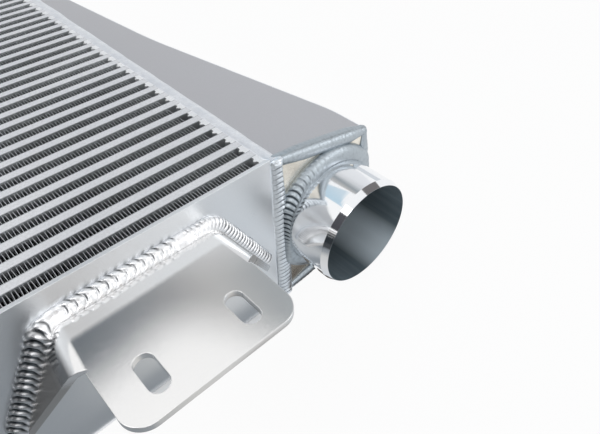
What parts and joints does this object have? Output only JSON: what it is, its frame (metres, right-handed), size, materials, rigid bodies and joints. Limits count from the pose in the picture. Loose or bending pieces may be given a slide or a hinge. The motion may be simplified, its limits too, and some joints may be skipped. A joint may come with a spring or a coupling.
{
  "type": "intercooler",
  "caption": "Bar-and-plate air-to-air intercooler with welded sheet tanks, short pipe stubs on one side and folded slotted mounting brackets.",
  "frame": {"origin": "centre of the core's back face", "axes": "+Z from the core's back face to its front face, +X along the charge passages towards one tank, +Y across the rows, away from the pipe stubs and brackets"},
  "size_m": [0.6704, 0.4448, 0.127],
  "materials": {
    "side_plate": "mill finish, faintly brushed",
    "brazed_bar": "matte, as brazed",
    "fin": "matte folded foil",
    "tank_sheet": "matte mill finish",
    "end_plate": "mill finish, faint heat tint",
    "pipe": "polished",
    "weld_metal": "rippled weld bead",
    "bracket": "brushed sheet"
  },
  "bodies": {
    "root": {"ambient_fins": "fin", "back_charge_bars": "brazed_bar", "charge_fins": "fin", "far_side_plate": "side_plate", "front_charge_bars": "brazed_bar", "left_bracket": "bracket", "left_bracket_weld": "weld_metal", "left_closing_bars": "brazed_bar", "left_core_weld": "weld_metal", "left_far_end_weld": "weld_metal", "left_near_end_weld": "weld_metal", "left_pipe_stub": "pipe", "left_pipe_weld": "weld_metal", "left_tank_back_sheet": "tank_sheet", "left_tank_far_end_plate": "end_plate", "left_tank_front_sheet": "tank_sheet", "left_tank_near_end_plate": "end_plate", "left_tank_outer_wall": "tank_sheet", "left_tank_seam_welds": "weld_metal", "near_side_plate": "side_plate", "right_bracket": "bracket", "right_bracket_weld": "weld_metal", "right_closing_bars": "brazed_bar", "right_core_weld": "weld_metal", "right_far_end_weld": "weld_metal", "right_near_end_weld": "weld_metal", "right_pipe_stub": "pipe", "right_pipe_weld": "weld_metal", "right_tank_back_sheet": "tank_sheet", "right_tank_far_end_plate": "end_plate", "right_tank_front_sheet": "tank_sheet", "right_tank_near_end_plate": "end_plate", "right_tank_outer_wall": "tank_sheet", "right_tank_seam_welds": "weld_metal", "separator_plates": "brazed_bar"}
  },
  "joints": []
}
